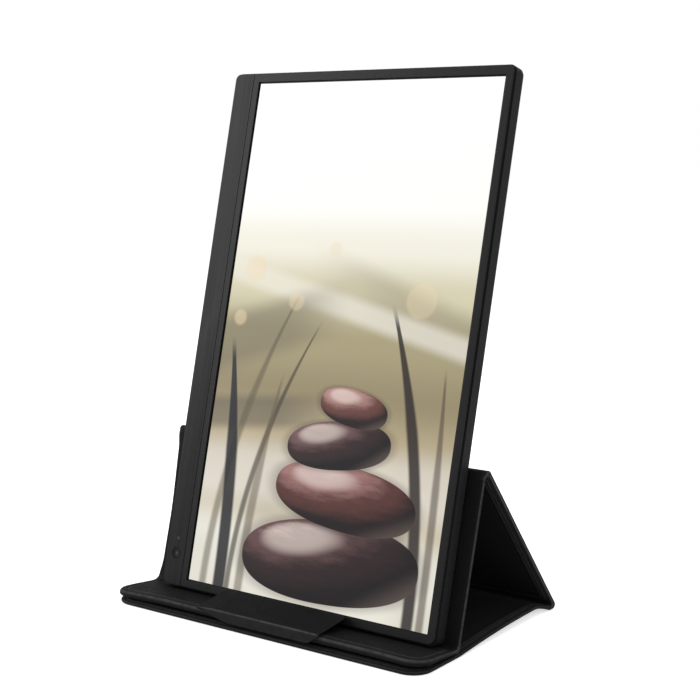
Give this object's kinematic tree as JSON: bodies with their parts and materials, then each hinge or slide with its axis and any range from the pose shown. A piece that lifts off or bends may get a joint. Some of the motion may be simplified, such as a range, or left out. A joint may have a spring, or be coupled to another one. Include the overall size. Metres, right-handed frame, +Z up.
{
  "type": "portable monitor with cover",
  "caption": "Slim portable monitor standing upright in a black folding cover that makes a triangular stand with a lip flap.",
  "frame": {"origin": "on the table, under the middle of the cover's base", "axes": "+Z up, the screen faces -Y, +X to the right when looking at the screen"},
  "size_m": [0.25, 0.1644, 0.3562],
  "materials": {
    "cover_leather": "fine pebbled grain, matt",
    "cover_lining": "smooth microfibre, matt",
    "stiff_board": "hidden stiffening board",
    "magnet": "plated",
    "bezel_plastic": "fine matt",
    "strip_metal": "dark, brushed along its length",
    "cover_plastic": "fine matt",
    "screen_glass": "anti-glare, lit",
    "optical_film": "clear or white film",
    "tray_steel": "zinc plated sheet",
    "circuit_board": "green solder mask",
    "flex_copper": "amber polyimide",
    "chip_black": "moulded epoxy",
    "socket_steel": "plated",
    "foot_rubber": "matt",
    "lamp_clear": "clear",
    "button_metal": "dark, dished"
  },
  "bodies": {
    "base": {"base_skin": "cover_leather", "base_board_front": "stiff_board", "base_board_rear": "stiff_board", "spine_board": "stiff_board", "base_lining": "cover_lining"},
    "strut": {"strut_skin": "cover_leather", "strut_board": "stiff_board", "strut_lining": "cover_lining", "rear_crease_fold": "cover_leather"},
    "support": {"support_skin": "cover_leather", "support_board": "stiff_board", "support_lining": "cover_lining", "support_magnets": "magnet", "top_crease_fold": "cover_leather"},
    "front_panel": {"front_panel_skin": "cover_leather", "front_panel_board": "stiff_board", "front_panel_lining": "cover_lining", "front_bend_fold": "cover_leather"},
    "flap": {"flap_skin": "cover_leather", "flap_board": "stiff_board", "flap_crease_fold": "cover_leather"},
    "monitor": {"front_bezel": "bezel_plastic", "brushed_strip": "strip_metal", "rear_cover": "cover_plastic", "lcd_cell": "screen_glass", "film_stack": "optical_film", "light_guide": "optical_film", "reflector": "optical_film", "backlight_strip": "flex_copper", "screen_tray": "tray_steel", "panel_flexes": "flex_copper", "timing_board": "circuit_board", "ribbon_cable": "optical_film", "main_board": "circuit_board", "shield_can": "socket_steel", "board_chips": "chip_black", "cable_socket": "socket_steel", "socket_tongue": "chip_black", "button_board": "circuit_board", "tact_switch": "socket_steel", "status_lamp": "lamp_clear", "light_pipe": "lamp_clear", "steel_plate": "tray_steel", "case_screws": "tray_steel", "board_screws": "tray_steel", "rubber_pads": "foot_rubber"},
    "power_button": {"power_button": "button_metal"}
  },
  "joints": [
    {"name": "rear_crease", "type": "hinge", "parent": "base", "child": "strut", "pos_m": [0, 0.07965, 0.0026], "axis": [-1, 0, 0], "range_deg": [0, 90], "deforming": ["rear_crease_fold"]},
    {"name": "top_crease", "type": "hinge", "parent": "strut", "child": "support", "pos_m": [0, -0.00836, 0.10824], "axis": [-1, 0, 0], "range_deg": [0, 100], "deforming": ["top_crease_fold"]},
    {"name": "front_bend", "type": "hinge", "parent": "support", "child": "front_panel", "pos_m": [0, -0.03916, 0.0055], "axis": [1, 0, 0], "range_deg": [0, 66], "deforming": ["front_bend_fold"]},
    {"name": "flap_crease", "type": "hinge", "parent": "front_panel", "child": "flap", "pos_m": [0, -0.08015, 0.01017], "axis": [1, 0, 0], "range_deg": [0, 170], "deforming": ["flap_crease_fold"]},
    {"name": "monitor_lift", "type": "slide", "parent": "support", "child": "monitor", "axis": [0, 0.2419, 0.9703], "range_m": [0, 0.15]},
    {"name": "power_button", "type": "slide", "parent": "monitor", "child": "power_button", "axis": [0, 0.9703, -0.2419], "range_m": [0, 0.0004], "stiffness_N_per_m": 400, "springref_m": -0.001}
  ],
  "couplings": [
    {"joint": "front_bend", "follows": "top_crease", "ratio": 0.649}
  ]
}
